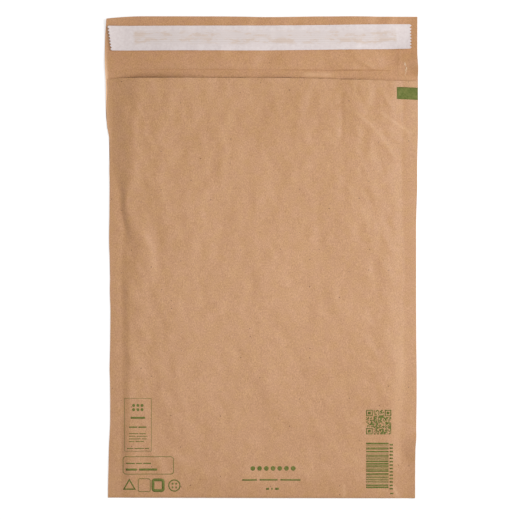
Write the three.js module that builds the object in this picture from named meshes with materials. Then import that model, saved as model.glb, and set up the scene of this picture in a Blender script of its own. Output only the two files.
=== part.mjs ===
// A padded paper mailer, empty, lying on its back with its flap open.
// One kraft web is folded at the bottom into a pocket and runs on past the mouth as the sealing flap.
// A cushion layer and a kraft lining follow the same fold inside it, glue joins the two sides,
// and a strip of adhesive under a peel-off liner waits on the flap.
// Millimetres: +X across the pocket, +Y from the bottom fold to the flap's end, +Z up off the table.
import * as THREE from "three";

// Outline
const BAG_WIDTH = 252; // across the flap, edge to edge
const POCKET_DEPTH = 340; // bottom fold to mouth
const FLAP_LENGTH = 50; // mouth to the flap's end
const WAIST = 2; // how far each side draws in where the pocket swells

// Plies, from the outside in
const OUTER_PLY = 0.3; // kraft web
const PADDING = 1.6; // cushion layer, lying free
const FOLD_PADDING = 0.8; // cushion layer, pressed in the bottom fold
const LINING_PLY = 0.2; // kraft lining, the face that the contents touch
const CLEARANCE = 0.2; // between one ply and the next

// Side seams
const SEAM_BAND = 14; // sealed margin along each side
const GLUE_FILM = 0.3;
const GLUE_FROM_EDGE = 3.5; // bare margin outside the glue
const GLUE_FROM_POCKET = 2.5; // bare margin inside it
const GLUE_FROM_FOLD = 4;
const GLUE_PAST_MOUTH = 14; // the right-hand strip runs on up the flap
const LINING_INSET = 2.5; // from the seam band to the lining's edge
const PADDING_INSET = 4; // from the seam band to the cushion's edge

// Swell of the pocket
const MOUTH_GAP = 5.4; // clear height in the middle of the mouth
const CLOSED_GAP = 0.4; // clear height where the two walls nearly meet
const SHOULDER = 10; // run over which the front wall climbs out of a side seam
const FOLD_SHOULDER = 18; // run over which it climbs out of the bottom fold
const CROWN_POWER = 4; // how flat the dome is across the pocket
const OPENING_POWER = 3; // how soon the pocket opens above the fold
const LIP = 6; // lining that shows past the mouth, ramping down to the flap's crease

// Seal strip on the flap
const LINER_WIDTH = 20;
const LINER_THICKNESS = 0.2;
const LINER_FROM_FLAP_END = 8;
const LINER_LEFT_MARGIN = 2.5; // from the flap's left edge to the strip
const LINER_RIGHT_MARGIN = 4.5;
const LINER_SLANT = 3; // the strip's left end is cut askew
const TOOTH_COUNT = 8; // pinked teeth across each end
const TOOTH_DEPTH = 1;
const ADHESIVE_WIDTH = 9.5;
const ADHESIVE_THICKNESS = 0.2;
const ADHESIVE_LEFT_MARGIN = 21; // from the strip's left end to the adhesive under it
const ADHESIVE_RIGHT_MARGIN = 12;

// Facets
const CROWN_COLUMNS = 6; // from the middle to each shoulder
const WALL_ROWS = 12; // up each wall above the fold's shoulder
const FOLD_ROWS = 8; // round the fold
const CORNER_SEGMENTS = 4;

// Places worked out from the sizes above
const FOLD_Y = -(POCKET_DEPTH + FLAP_LENGTH) / 2;
const MOUTH_Y = FOLD_Y + POCKET_DEPTH;
const FLAP_END_Y = MOUTH_Y + FLAP_LENGTH;
const SEAM_X = BAG_WIDTH / 2 - SEAM_BAND;

const KRAFT = { color: 0xc69a75, roughness: 0.85 };
const LINING_KRAFT = { color: 0xc0946f, roughness: 0.88 };
const CUSHION_PAPER = { color: 0xb99c7e, roughness: 0.95 };
const HOT_MELT = { color: 0xe2d3b4, roughness: 0.4 };
const SILICONE_PAPER = { color: 0xdcd2d0, roughness: 0.5 };

const clamp = THREE.MathUtils.clamp;
const lerp = THREE.MathUtils.lerp;

// Rise from 0 to 1 that leaves its start at a slope, as paper leaves a seam, and levels off.
function climb(distance, run) {
  return Math.sin((Math.PI / 2) * clamp(distance / run, 0, 1));
}

// Clear height inside the pocket: domed across, opening from the fold to the mouth.
function pocketGap(x, y) {
  const across = 1 - clamp(Math.abs(x) / SEAM_X, 0, 1) ** CROWN_POWER;
  const along = 1 - clamp((MOUTH_Y - y) / POCKET_DEPTH, 0, 1) ** OPENING_POWER;
  return lerp(CLOSED_GAP, MOUTH_GAP, across * along);
}

// Everything between the outer ply's two inside faces.
function stackHeight(padding, gap) {
  return 2 * (padding + LINING_PLY + 2 * CLEARANCE) + gap;
}

// Height of the front ply above the back ply: a glue film in the seams, the full stack inside them.
function lift(x, y) {
  const folded = stackHeight(FOLD_PADDING, CLOSED_GAP);
  const open = stackHeight(PADDING, pocketGap(x, y));
  const inside = lerp(folded, open, climb(y - FOLD_Y, FOLD_SHOULDER));
  return lerp(GLUE_FILM, inside, climb(SEAM_X - Math.abs(x), SHOULDER));
}

// Depth of the lining's pocket face below the outer ply, the same on both walls.
// Past the mouth the lining ramps down and ends on the flap.
function wallDepth(x, y) {
  const within = Math.min(y, MOUTH_Y);
  const depth = (lift(x, within) - pocketGap(x, within)) / 2;
  return lerp(depth, CLEARANCE + LINING_PLY, clamp((y - MOUTH_Y) / LIP, 0, 1));
}

// Half the width of the sheet: full at the fold and on the flap, drawn in between them.
function halfWidth(y) {
  const share = clamp((y - FOLD_Y) / POCKET_DEPTH, 0, 1);
  return BAG_WIDTH / 2 - WAIST * 4 * share * (1 - share);
}

// Centre of the bottom fold, so that the sheet's outside just reaches FOLD_Y.
function foldCentre(x) {
  return FOLD_Y + OUTER_PLY + lift(x, FOLD_Y) / 2;
}

// Columns across the bag, shared by every ply so that their facets lie parallel.
function columnsWithin(edge) {
  const half = [BAG_WIDTH / 2, SEAM_X, SEAM_X - LINING_INSET, SEAM_X - PADDING_INSET];
  half.push(SEAM_X - (PADDING_INSET + SHOULDER) / 2);
  for (let i = CROWN_COLUMNS; i >= 0; i--) half.push(((SEAM_X - SHOULDER) * i) / CROWN_COLUMNS);
  const kept = half.filter((x) => x <= edge);
  return [...kept.map((x) => -x), ...kept.slice(0, -1).reverse()];
}

// Distances from the fold at which a wall has a row of points, from the fold to the mouth.
function wallRows() {
  const rows = [0, FOLD_SHOULDER / 4, FOLD_SHOULDER / 2, FOLD_SHOULDER];
  for (let i = 1; i <= WALL_ROWS; i++) rows.push(lerp(FOLD_SHOULDER, POCKET_DEPTH, i / WALL_ROWS));
  return rows;
}

// One face of a folded web as rows of points, from its back end round the fold to the mouth.
// depth(x, y) is how far the face lies inside the outer ply, and backEnds are rows past the mouth.
function foldedFace(columns, depth, backEnds) {
  const rows = [];
  const addRow = (pointAt) => rows.push(columns.map(pointAt));
  const column = (x, y) => clamp(x, -halfWidth(y), halfWidth(y));
  const wallY = (x, distance) => Math.max(FOLD_Y + distance, foldCentre(x));
  const onBack = (x, y) => new THREE.Vector3(column(x, y), y, OUTER_PLY + depth(x, y));
  const onFront = (x, y) => new THREE.Vector3(column(x, y), y, OUTER_PLY + lift(x, y) - depth(x, y));
  const walls = wallRows();

  for (const y of backEnds) addRow((x) => onBack(x, y));
  for (const distance of [...walls].reverse()) addRow((x) => onBack(x, wallY(x, distance)));
  for (let i = 1; i < FOLD_ROWS; i++) {
    const angle = (Math.PI * i) / FOLD_ROWS;
    addRow((x) => {
      const middle = lift(x, FOLD_Y) / 2;
      const radius = middle - depth(x, FOLD_Y);
      const y = foldCentre(x) - radius * Math.sin(angle);
      return new THREE.Vector3(column(x, y), y, OUTER_PLY + middle - radius * Math.cos(angle));
    });
  }
  for (const distance of walls) addRow((x) => onFront(x, wallY(x, distance)));
  return rows;
}

// Closed solid between two faces with the same rows and columns, rims included.
function solidBetween(outerRows, innerRows) {
  const rowCount = outerRows.length;
  const columnCount = outerRows[0].length;
  const positions = [...outerRows, ...innerRows].flat().flatMap((p) => [p.x, p.y, p.z]);
  const innerStart = rowCount * columnCount;
  const outer = (r, c) => r * columnCount + c;
  const inner = (r, c) => innerStart + outer(r, c);
  const index = [];
  const quad = (a, b, c, d) => index.push(a, b, c, a, c, d);

  for (let r = 0; r + 1 < rowCount; r++) {
    for (let c = 0; c + 1 < columnCount; c++) {
      quad(outer(r, c), outer(r, c + 1), outer(r + 1, c + 1), outer(r + 1, c));
      quad(inner(r, c), inner(r + 1, c), inner(r + 1, c + 1), inner(r, c + 1));
    }
  }
  const last = columnCount - 1;
  for (let r = 0; r + 1 < rowCount; r++) {
    quad(outer(r, 0), outer(r + 1, 0), inner(r + 1, 0), inner(r, 0));
    quad(outer(r + 1, last), outer(r, last), inner(r, last), inner(r + 1, last));
  }
  const end = rowCount - 1;
  for (let c = 0; c < last; c++) {
    quad(outer(0, c + 1), outer(0, c), inner(0, c), inner(0, c + 1));
    quad(outer(end, c), outer(end, c + 1), inner(end, c + 1), inner(end, c));
  }

  const geometry = new THREE.BufferGeometry();
  geometry.setAttribute("position", new THREE.Float32BufferAttribute(positions, 3));
  geometry.setIndex(index);
  geometry.computeVertexNormals();
  return geometry;
}

function foldedWeb(edge, outerDepth, innerDepth, backEnds) {
  const columns = columnsWithin(edge);
  return solidBetween(
    foldedFace(columns, outerDepth, backEnds),
    foldedFace(columns, innerDepth, backEnds),
  );
}

// Flat strip with rounded corners, its underside on z = 0, centred on the origin.
function strip(width, length, thickness) {
  const radius = Math.min(width, length) / 4;
  const x = width / 2 - radius;
  const y = length / 2 - radius;
  const outline = new THREE.Shape();
  outline.absarc(x, y, radius, 0, Math.PI / 2);
  outline.absarc(-x, y, radius, Math.PI / 2, Math.PI);
  outline.absarc(-x, -y, radius, Math.PI, 1.5 * Math.PI);
  outline.absarc(x, -y, radius, 1.5 * Math.PI, 2 * Math.PI);
  return extrude(outline, thickness);
}

// Peel-off strip with pinked ends, the left one cut askew.
function pinkedStrip(length) {
  const halfLength = length / 2;
  const halfHeight = LINER_WIDTH / 2;
  const steps = 2 * TOOTH_COUNT;
  const points = [];
  const addEnd = (side, slant) => {
    for (let i = 0; i <= steps; i++) {
      const tooth = i % 2 ? TOOTH_DEPTH : 0;
      const y = side * lerp(-halfHeight, halfHeight, i / steps);
      const askew = slant * (0.5 - y / LINER_WIDTH);
      points.push(new THREE.Vector2(side * (halfLength - TOOTH_DEPTH - askew + tooth), y));
    }
  };
  addEnd(1, 0);
  addEnd(-1, LINER_SLANT);
  return extrude(new THREE.Shape(points), LINER_THICKNESS);
}

function extrude(outline, thickness) {
  return new THREE.ExtrudeGeometry(outline, {
    depth: thickness,
    bevelEnabled: false,
    curveSegments: CORNER_SEGMENTS,
  });
}

function piece(name, geometry, finish) {
  const mesh = new THREE.Mesh(geometry, new THREE.MeshStandardMaterial({ ...finish, metalness: 0 }));
  mesh.name = name;
  return mesh;
}

// Kraft web: flap, back panel, bottom fold and front panel in one.
function outerSheet() {
  const outside = () => -OUTER_PLY;
  const inside = () => 0;
  return piece("outer_sheet", foldedWeb(BAG_WIDTH / 2, outside, inside, [FLAP_END_Y]), KRAFT);
}

// Cushion layer between the kraft web and the lining, pressed thin where the seams and the fold close.
function padding() {
  const outside = () => CLEARANCE;
  const inside = (x, y) => wallDepth(x, y) - LINING_PLY - CLEARANCE;
  const geometry = foldedWeb(SEAM_X - PADDING_INSET, outside, inside, []);
  return piece("padding", geometry, CUSHION_PAPER);
}

// Kraft lining that faces the contents, with a lip past the mouth on the back wall.
function innerLining() {
  const outside = (x, y) => wallDepth(x, y) - LINING_PLY;
  const geometry = foldedWeb(SEAM_X - LINING_INSET, outside, wallDepth, [MOUTH_Y + LIP, MOUTH_Y + LIP / 2]);
  return piece("inner_lining", geometry, LINING_KRAFT);
}

// Glue film that holds the front panel's margin down on the back panel's.
function seamGlue(name, side, pastMouth) {
  const width = SEAM_BAND - GLUE_FROM_EDGE - GLUE_FROM_POCKET;
  const bottom = FOLD_Y + GLUE_FROM_FOLD;
  const top = MOUTH_Y + pastMouth;
  const mesh = piece(name, strip(width, top - bottom, GLUE_FILM), HOT_MELT);
  mesh.position.x = side * (SEAM_X + GLUE_FROM_POCKET + width / 2);
  mesh.position.y = (bottom + top) / 2;
  return mesh;
}

function sideSeams() {
  const seams = new THREE.Group();
  seams.add(seamGlue("side_seam_glue_left", -1, 0));
  seams.add(seamGlue("side_seam_glue_right", 1, GLUE_PAST_MOUTH));
  seams.position.z = OUTER_PLY;
  return seams;
}

// Adhesive band on the flap and the peel-off liner that covers it.
function sealStrip() {
  const left = LINER_LEFT_MARGIN - BAG_WIDTH / 2;
  const right = BAG_WIDTH / 2 - LINER_RIGHT_MARGIN;
  const liner = piece("release_liner", pinkedStrip(right - left), SILICONE_PAPER);
  liner.position.set((left + right) / 2, 0, ADHESIVE_THICKNESS);

  const start = left + ADHESIVE_LEFT_MARGIN;
  const end = right - ADHESIVE_RIGHT_MARGIN;
  const adhesive = piece("flap_adhesive", strip(end - start, ADHESIVE_WIDTH, ADHESIVE_THICKNESS), HOT_MELT);
  adhesive.position.x = (start + end) / 2;

  const seal = new THREE.Group();
  seal.add(adhesive, liner);
  seal.position.set(0, FLAP_END_Y - LINER_FROM_FLAP_END - LINER_WIDTH / 2, OUTER_PLY);
  return seal;
}

const mailer = new THREE.Group();
mailer.add(outerSheet(), padding(), innerLining(), sideSeams(), sealStrip());

export default mailer;
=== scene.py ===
import functools
import math

import bpy
import numpy as np
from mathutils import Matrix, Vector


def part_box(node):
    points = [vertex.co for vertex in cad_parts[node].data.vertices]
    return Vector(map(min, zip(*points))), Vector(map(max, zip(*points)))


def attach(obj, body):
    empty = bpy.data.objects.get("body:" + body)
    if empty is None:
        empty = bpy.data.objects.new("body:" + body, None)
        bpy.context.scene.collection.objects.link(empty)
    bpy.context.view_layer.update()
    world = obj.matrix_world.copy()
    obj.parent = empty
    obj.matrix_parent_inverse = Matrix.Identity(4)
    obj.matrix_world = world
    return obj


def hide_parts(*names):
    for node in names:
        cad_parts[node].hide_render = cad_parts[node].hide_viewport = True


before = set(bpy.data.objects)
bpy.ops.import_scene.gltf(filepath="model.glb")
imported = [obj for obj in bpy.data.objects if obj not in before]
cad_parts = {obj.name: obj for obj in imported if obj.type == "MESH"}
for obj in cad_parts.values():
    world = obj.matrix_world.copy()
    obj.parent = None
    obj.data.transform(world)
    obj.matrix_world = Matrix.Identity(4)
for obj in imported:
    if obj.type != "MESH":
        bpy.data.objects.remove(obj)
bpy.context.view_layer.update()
mm = 0.001  # shapes are worked out in mm, the meshes are in metres


def corners(node):  # a CAD node's lowest and highest corner, in mm
    low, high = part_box(node)
    return np.array(low) / mm, np.array(high) / mm


sheetLow, sheetHigh = corners("outer_sheet")
padHigh = corners("padding")[1]
liningHigh = corners("inner_lining")[1]
gluedLow, gluedHigh = corners("side_seam_glue_right")
gluedLeftLow, gluedLeftHigh = corners("side_seam_glue_left")
stripLow, stripHigh = corners("release_liner")
tackLow, tackHigh = corners("flap_adhesive")

halfWidth = sheetHigh[0]
foldY, flapEndY = sheetLow[1], sheetHigh[1]
mouthY = padHigh[1]  # the cushion is cut off at the mouth
lipY = liningHigh[1]  # the lining runs on to the flap's crease
pocketDepth = mouthY - foldY
plyThick = gluedLow[2]  # the seam glue lies on the back ply
glueFilm = gluedHigh[2] - gluedLow[2]
print("frame: pocket", round(pocketDepth, 1), "mm deep, flap", round(flapEndY - mouthY, 1), "mm")


# small shape helpers, all on whole arrays

def easeUp(distance, run):  # quarter sine from 0 to 1, leaves its start at a slope
    return np.sin(np.pi / 2 * np.clip(distance / run, 0, 1))


def smoothStep(value):  # 0 to 1 with level ends
    t = np.clip(value, 0, 1)
    return t * t * (3 - 2 * t)


def bell(value):  # 1 in the middle, fading to 0 about two units away
    return np.exp(-np.square(value))


def steps(value, rows):  # eased steps: start, run (negative goes downwards), size
    return sum(size * smoothStep((value - start) / run) for start, run, size in rows)


def bulges(value, rows):  # bell-shaped bulges: middle, reach, size
    return sum(size * bell((value - middle) / reach) for middle, reach, size in rows)


def pastLine(x, line):  # 0 before the line, then rising by 1 in 1, with a rounded start
    return (x - line + np.sqrt(np.square(x - line) + 1)) / 2


latticeSize = 97  # the random lattice repeats after this many cells


def softNoise(x, y, cellX, cellY, turn, seed):
    # random heights from -1 to 1 on a lattice of cells turned by some degrees, eased from cell to cell
    n = latticeSize
    lattice = np.random.default_rng(seed).uniform(-1, 1, (n, n))
    c, s = math.cos(math.radians(turn)), math.sin(math.radians(turn))
    u, v = (c * x + s * y) / cellX, (c * y - s * x) / cellY
    i, j = np.floor(u).astype(int), np.floor(v).astype(int)
    a, b = u - i, v - j
    a, b = a ** 3 * (a * (a * 6 - 15) + 10), b ** 3 * (b * (b * 6 - 15) + 10)
    near = lattice[i % n, j % n] * (1 - a) + lattice[(i + 1) % n, j % n] * a
    far = lattice[i % n, (j + 1) % n] * (1 - a) + lattice[(i + 1) % n, (j + 1) % n] * a
    return near * (1 - b) + far * b


def lineNoise(along, height, cell, seed):  # the same along a line, times a height
    return height * softNoise(along, 0 * along, cell, 1, 0, seed)


def edgeNoise(y, height, cell, seed):  # the same down a side edge
    return height * softNoise(0 * y, y, 1, cell, 0, seed)


def crease(x, y, path, width, height, steep=1.0):
    # bell-shaped ridge across a bent line: height at the line, width to either side, fading at its ends;
    # steep narrows the side that lies to the right of the path
    path = np.array(path, float)
    lengths = np.hypot(*np.diff(path, axis=0).T)
    total, walked = lengths.sum(), 0
    best, ridge = np.full(np.shape(x), np.inf), np.zeros(np.shape(x))
    for start, end, length in zip(path[:-1], path[1:], lengths):
        dx, dy = (end - start) / length
        t = np.clip((x - start[0]) * dx + (y - start[1]) * dy, 0, length)
        offX, offY = x - start[0] - t * dx, y - start[1] - t * dy
        away = np.hypot(offX, offY)
        onRight = dx * offY - dy * offX < 0
        across = away / np.where(onRight, width / steep, width)
        share = (walked + t) / total
        ends = np.sqrt(np.clip(4 * share * (1 - share), 0, 1))
        ridge = np.where(away < best, bell(across) * ends, ridge)
        best = np.minimum(best, away)
        walked += length
    return ridge * height


def creases(x, y, rows):
    return sum(crease(x, y, *row) for row in rows)


# outline of the sheet: the left side draws in below the mouth, the right side hardly

outline = dict(
    # rows for steps (from this y, run, mm outwards) and bulges (at this y, reach, mm outwards)
    leftSteps=((127, -40, -3.9), (-120, -50, 1.7)),
    leftBulges=((160, 16, 0.5), (136, 18, -0.55), (107, 9, 0.75), (72, 10, 0.5), (46, 20, 0.4), (14, 18, 0.8),
                (-28, 12, 0.65), (-33, 28, -0.5), (-90, 8, 0.4), (-140, 22, -0.4), (-168, 14, -0.35)),
    rightSteps=((260, -60, 0.5), (164, -16, 0.8), (104, -28, -0.65), (56, -20, -0.85), (-143, -14, -0.85)),
    rightBulges=((-103, 34, 0.45),),
    frontShort=((136, 19, 1.7),),  # the front ply stops short of the back one's left edge here
    lipDrop=0.1, lipSlant=0.55,  # the lining's end is lower to the right
    mouthDrop=0.2, mouthSteps=((10, 125, -2.6),), mouthBulges=((-128, 12, -0.9),),
    foldDrop=0.25, foldSlant=0.25,  # bottom fold and flap end are cut a little askew
    endDrop=0.7, endSlant=0.3, endBulges=((65, 30, 0.3), (8, 22, -0.45)),
    curlReach=22, curlAspect=0.7,  # the curled top left corner: its size, and what it moves by
    curlLift=2.0, curlDown=1.9, curlIn=1.4,
)


def sideEdges(y, front):  # x of the left and right edge at height y
    o = outline
    left = -halfWidth - steps(y, o["leftSteps"]) - bulges(y, o["leftBulges"])
    right = halfWidth + steps(y, o["rightSteps"]) + bulges(y, o["rightBulges"])
    if front:
        left = left + bulges(y, o["frontShort"])
    return left, right


def lipLine(x):  # end of the lining and the flap's score beside it
    return lipY - outline["lipDrop"] - outline["lipSlant"] * x / halfWidth


def mouthLine(x):  # cut edge of the front wall, lower at its corners
    return mouthY - outline["mouthDrop"] + bulges(x, outline["mouthBulges"]) + steps(x, outline["mouthSteps"])


def cornerCurl(x, y):  # 1 at the top left corner, falling as a square to 0 at the curl's reach
    away = flapEndY - y + outline["curlAspect"] * (x + halfWidth)
    return np.clip(1 - away / outline["curlReach"], 0, 1) ** 2


# swell of the pocket: how high the front ply stands over the back ply

pouch = dict(
    leftSeam=-113.6, rightSeam=115.6,  # where the front wall leaves the glued margins
    leftSteps=((48, 28, -6.8), (10, -30, 0.8)), leftBulges=((20, 15, 3.6),),
    rightBulges=((-150, 16, -1.6),), rightNoise=(0.7, 17, 5),  # noise: height, cell, seed
    step=1.0, leftRun=6.0, rightRun=15.0,  # first step up from the margins and its runs
    leftRunBulges=((32, 20, -1.0),), rightRunNoise=(0.2, 24, 6),
    slowRun=24.0, slowTop=((48, 28, 1.0),),  # near the mouth the climb at the left is slow
    rightLess=0.2, rightPart=((20, 70, 1.0),),  # lower on the right, but fuller from the middle down
    fuller=((0.3, 0.3, 0.5), (0.9, 0.1, -0.5)),
    crown=2.8, crownRun=3.5,  # rise in the middle
    foldLift=1.6, foldLow=0.6, foldShoulder=16.0,  # height, lowest share and run at the fold
    mouthDip=0.72, mouthDipRun=30, mouthOpen=((-62, 44, 0.85),),  # crown pressed flat at the mouth
    gapes=((-92, 26, 2.4), (-48, 34, 0.7), (20, 16, 0.7)), gapeRun=24,  # the mouth stands open here
    lining=0.2, clearance=0.1, closedGap=0.2, gapShare=0.5, gapeShare=0.9,
)


def seamLines(y):  # inner edges of the glued margins, wandering a little
    p = pouch
    left = p["leftSeam"] + bulges(y, p["leftBulges"]) + steps(y, p["leftSteps"])
    return left, p["rightSeam"] + bulges(y, p["rightBulges"]) + edgeNoise(y, *p["rightNoise"])


def seamClimb(x, y, leftRun, rightRun):  # 0 on the margins to 1 over the padding, slow at the top left
    p = pouch
    left, right = seamLines(y)
    leftRun = leftRun + bulges(y, p["leftRunBulges"])
    leftRun = leftRun + (p["slowRun"] - leftRun) * steps(y, p["slowTop"])
    rightRun = rightRun * (1 + edgeNoise(y, *p["rightRunNoise"]))
    return np.minimum(easeUp(x - left, leftRun), easeUp(right - x, rightRun))


def mouthGape(x, y):  # the front wall lifts towards the mouth, most at the left
    return bulges(x, pouch["gapes"]) * bell((mouthY - y) / pouch["gapeRun"])


def stackLift(x, y):
    # height of the front ply's underside over the back ply, smooth part: a step up from each margin, then a
    # flat-topped crown (one less the sixth power) that sinks towards the fold and is pressed at the mouth
    p = pouch
    left, right = seamLines(y)
    across = np.clip((2 * x - left - right) / (right - left), -1, 1)
    along = np.clip((mouthY - y) / pocketDepth, 0, 1)
    pressed = p["mouthDip"] * (1 - bulges(x, p["mouthOpen"])) * bell((mouthY - y) / p["mouthDipRun"])
    crown = p["crown"] * (1 - across ** 6) * (1 - along ** 3) * (1 - pressed)
    fuller = (steps(along, p["fuller"]) - p["rightLess"]) * steps(x, p["rightPart"])
    step = p["step"] * (1 + fuller) + p["foldLift"] * np.cos(np.pi / 2 * across) * along ** 6
    step = step * seamClimb(x, y, p["leftRun"], p["rightRun"])
    crown = (crown + mouthGape(x, y)) * seamClimb(x, y, p["leftRun"], p["crownRun"])
    shoulder = p["foldLow"] + (1 - p["foldLow"]) * easeUp(y - foldY, p["foldShoulder"])
    return glueFilm + shoulder * (step + crown)


def pocketGap(x, y):  # clear height between the two linings
    p = pouch
    swell = p["gapShare"] * np.clip(stackLift(x, y) - p["step"] - glueFilm, 0, None)
    gape = p["gapeShare"] * mouthGape(x, y) * seamClimb(x, y, p["leftRun"], p["rightRun"])
    return p["closedGap"] + swell + gape


def wallDepth(x, y):
    # how far the lining's pocket face lies inside the outer ply; past the mouth it ramps down to the flap
    seated = pouch["clearance"] + pouch["lining"]
    within = np.minimum(y, mouthY)
    depth = np.maximum((stackLift(x, within) - pocketGap(x, within)) / 2, seated)
    return depth + (seated - depth) * smoothStep((y - mouthY) / (lipY - mouthY))


# fold marks on the front wall: path in mm, width, height, steepness of the right-hand side
frontCreases = (
    (((66, 126), (73, 120), (89, 107), (98, 95.5), (107, 84), (112, 77)), 2.4, 1.0, 0.45),
    (((97, 137), (102, 128), (108, 119)), 1.8, 0.4, 0.55),
    (((65.6, 136), (66, 112), (65.6, 92)), 1.4, -0.5, 0.5),
    (((80, 141), (82, 131), (87, 121)), 2.6, 0.2, 1.0),
    (((106, 132), (107, 110), (106, 88)), 6.0, 0.3, 0.8),
    (((62, 66), (68, 58), (72, 50)), 2.0, 0.25, 1.4),
    (((92, 92), (97, 76), (98, 60)), 4.0, -0.45, 1.0),
    (((-116, 56), (-110, 40), (-102, 25), (-93, 8), (-86, -20)), 5.8, 0.85, 0.75),
    (((-114, 30), (-108, 16), (-104, -4)), 4.0, -0.4, 1.0),
    (((-88, 34), (-83, 5), (-82, -34)), 6.2, -0.75, 1.0),
    (((-104, 126), (-104.5, 92), (-102, 54)), 5.2, 1.35, 0.42),
    (((-47, 36), (-47, 22), (-46, 8)), 1.8, 0.25, 1.0),
    (((-5, 58), (-4, 42), (-5, 30)), 1.8, 0.3, 1.0),
    (((-3, -44), (-1, -56), (-2, -68)), 2.0, 0.25, 1.0),
)

# fold marks that run on across the glued margin
marginCreases = (
    (((96.6, 117), (100.6, 114.3), (110.2, 108), (119.6, 101.4), (122.6, 99.4)), 1.8, 0.5, 0.5),
    (((104, 98), (112, 94), (120, 96)), 2.0, 0.25, 1.0),
    (((105.5, -184), (108, -188.5), (111.5, -195), (113, -198)), 0.9, 0.3, 0.8),
)

# painted highlights on the sharpest of them and the lower right seam: path, width, share of the highlight
foldHighlights = (
    (frontCreases[0][0], 1.2, 0.2),
    (frontCreases[1][0], 1.2, 0.14),
    (marginCreases[0][0], 1.2, 0.32),
    (marginCreases[2][0], 1.2, 0.5),
    (((67.0, -183), (67.6, -190), (67.2, -199)), 1.2, 0.3),
    (((112.5, -48), (113.5, -75), (113, -100), (110.8, -124), (109.3, -148), (109, -180)), 4.5, 0.21),
)

wrinkle = dict(
    # soft rims that the padding's left and right edge push up: height, place past the seam, widths of its two
    # flanks, noise; the left one swings inwards at the bulge and is wider above
    rims=((0.7, 8.0, 4.5, 10.0, 0.4, 34, 3), (0.12, 7.5, 4.5, 7.0, 0.7, 30, 4)),
    leftSwing=((4, 15, -7.0),), leftWider=((45, 30, 5.0),), mouthFade=((108, 30, -0.6),),
    pleat=0.42, pleatHang=17, pleatAt=-65, pleatEvery=36.5, pleatSway=0.6, pleatSwayRun=31,
    # slack paper over the padding: height, cell sizes, turn, seed; it is taut along the right seam
    slack=((0.9, 8, 16, 24, 11), (0.75, 7, 15, -15, 12), (0.5, 4.0, 7.5, 28, 13), (0.16, 2.4, 4.0, 10, 15)),
    cockle=0.335, taut=((5, 8, -0.45),), broad=0.6, broadCell=(26, 38, 20, 14),
    climb=6.0, aboveFold=((1, 16, 1.0),),  # all fade out at the seams and the fold
)


def wrinkles(x, y):
    # rims along the padding's edges, pleats that hang from the mouth, fold marks and cockled paper
    w = wrinkle
    left, right = seamLines(y)
    inPocket = seamClimb(x, y, w["climb"], w["climb"]) * steps(y - foldY, w["aboveFold"])
    sides = ((x - left + bulges(y, w["leftSwing"]), steps(y, w["leftWider"])), (right - x, 0))
    rims = 0
    for (fromSeam, wider), (height, inside, flank, fall, *noise) in zip(sides, w["rims"]):
        t = fromSeam - inside
        rims = rims + height * bell(t / np.where(t < 0, flank + wider, fall)) * (1 + edgeNoise(y, *noise))
    rims = rims * (1 + steps(y, w["mouthFade"]))
    hang = np.exp(-np.clip(mouthY - y, 0, None) / w["pleatHang"])
    turns = 2 * np.pi * (x - w["pleatAt"]) / w["pleatEvery"] + w["pleatSway"] * np.sin(x / w["pleatSwayRun"])
    pleats = w["pleat"] * hang * np.cos(turns)
    slack = sum(height * softNoise(x, y, *cell) for height, *cell in w["slack"])
    slack = w["cockle"] * slack * (1 + bulges(right - x, w["taut"]))
    broad = w["broad"] * softNoise(x, y, *w["broadCell"])
    return (rims + pleats + creases(x, y, frontCreases) + slack + broad) * inPocket


# the bottom right corner is bent up along a bowed line, which is furthest in at this y
turned = dict(slope=0.34, fromX=114.8, atY=-154, bow=3.8, bowReach=11, bowMost=4.0,
              shares=((16, -11, 1.0), (-6, -22, -0.5)))  # of the slope, from above atY to below it


def cornerTurn(x, y):  # height that both walls gain there: the slope times the way past the line
    t = turned
    along = y - t["atY"]
    line = t["fromX"] + np.minimum(t["bow"] * np.square(along / t["bowReach"]), t["bowMost"])
    return t["slope"] * (pastLine(x, line) - pastLine(0, line)) * steps(along, t["shares"])


# glued margins: they ripple by a tenth of a millimetre and tilt up from their edges towards the padding, the
# right one with its edge rounded down
margins = dict(ripple=0.10, rippleCell=(7, 30, 3, 21), aboveFold=((0, 20, 1.0),),
               leftSlope=0.06, leftSteps=((5, 60, -0.03),), leftRun=8, leftFade=((-100, 200, -1.0),),
               rightSteps=((60, 40, 0.06),), rightBulges=((-85, 45, 0.085),), rightRun=10,
               rightFade=((-60, 160, 1.0),), roundSlope=0.06, roundRun=6)


def frontLift(x, y):  # height of the whole front wall over the back ply
    m = margins
    left, right = sideEdges(y, True)
    ripple = m["ripple"] * (1 + softNoise(x, y, *m["rippleCell"]))
    slope = m["leftSlope"] + steps(y, m["leftSteps"])
    tiltLeft = slope * np.clip(x - left, 0, m["leftRun"]) * (1 + steps(x, m["leftFade"]))
    slope = bulges(y, m["rightBulges"]) + steps(y, m["rightSteps"])
    edge = np.clip(right - x, 0, m["roundRun"])
    rounded = m["roundSlope"] * (edge - edge ** 2 / (2 * m["roundRun"]))
    tiltRight = (slope * np.clip(right - x, 0, m["rightRun"]) + rounded) * steps(x, m["rightFade"])
    tilts = (tiltLeft + tiltRight) * steps(y - foldY, m["aboveFold"])
    marks = creases(x, y, marginCreases)
    return stackLift(x, y) + wrinkles(x, y) + ripple + tilts + marks + cornerTurn(x, y)


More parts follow.
